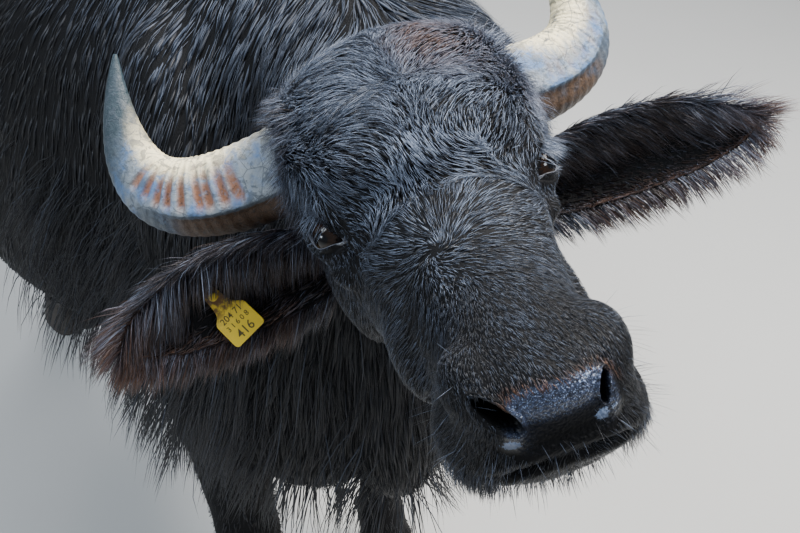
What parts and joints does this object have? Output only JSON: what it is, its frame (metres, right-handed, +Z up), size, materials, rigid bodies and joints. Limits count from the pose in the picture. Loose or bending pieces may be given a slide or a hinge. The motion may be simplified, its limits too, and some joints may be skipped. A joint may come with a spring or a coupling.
{
  "type": "water buffalo",
  "caption": "Life-size standing water buffalo cow with a raised, turned head, swept horns, wide ears, a shaggy winter coat and a plain yellow ear tag.",
  "frame": {"origin": "on the floor, under the middle of the model's outline", "axes": "+X to her left side, +Y to her tail (she faces -Y), +Z up"},
  "size_m": [0.8418, 2.168, 1.4383],
  "materials": {
    "hide": "blue-black hide under a shaggy winter coat",
    "horn": "ridged grey and cream keratin",
    "eye": "wet dark brown",
    "hoof": "dull black keratin",
    "tag_yellow": "satin moulded plastic"
  },
  "bodies": {
    "root": {"head": "hide", "neck": "hide", "torso": "hide", "tail": "hide", "leg_front_left": "hide", "leg_front_right": "hide", "leg_hind_left": "hide", "leg_hind_right": "hide", "ear_left": "hide", "ear_right": "hide", "eye_left": "eye", "eye_right": "eye", "horn_left": "horn", "horn_right": "horn", "claw_front_left_outer": "hoof", "claw_front_left_inner": "hoof", "claw_front_right_outer": "hoof", "claw_front_right_inner": "hoof", "claw_hind_left_outer": "hoof", "claw_hind_left_inner": "hoof", "claw_hind_right_outer": "hoof", "claw_hind_right_inner": "hoof", "ear_tag_flag": "tag_yellow", "ear_tag_button": "tag_yellow"}
  },
  "joints": []
}
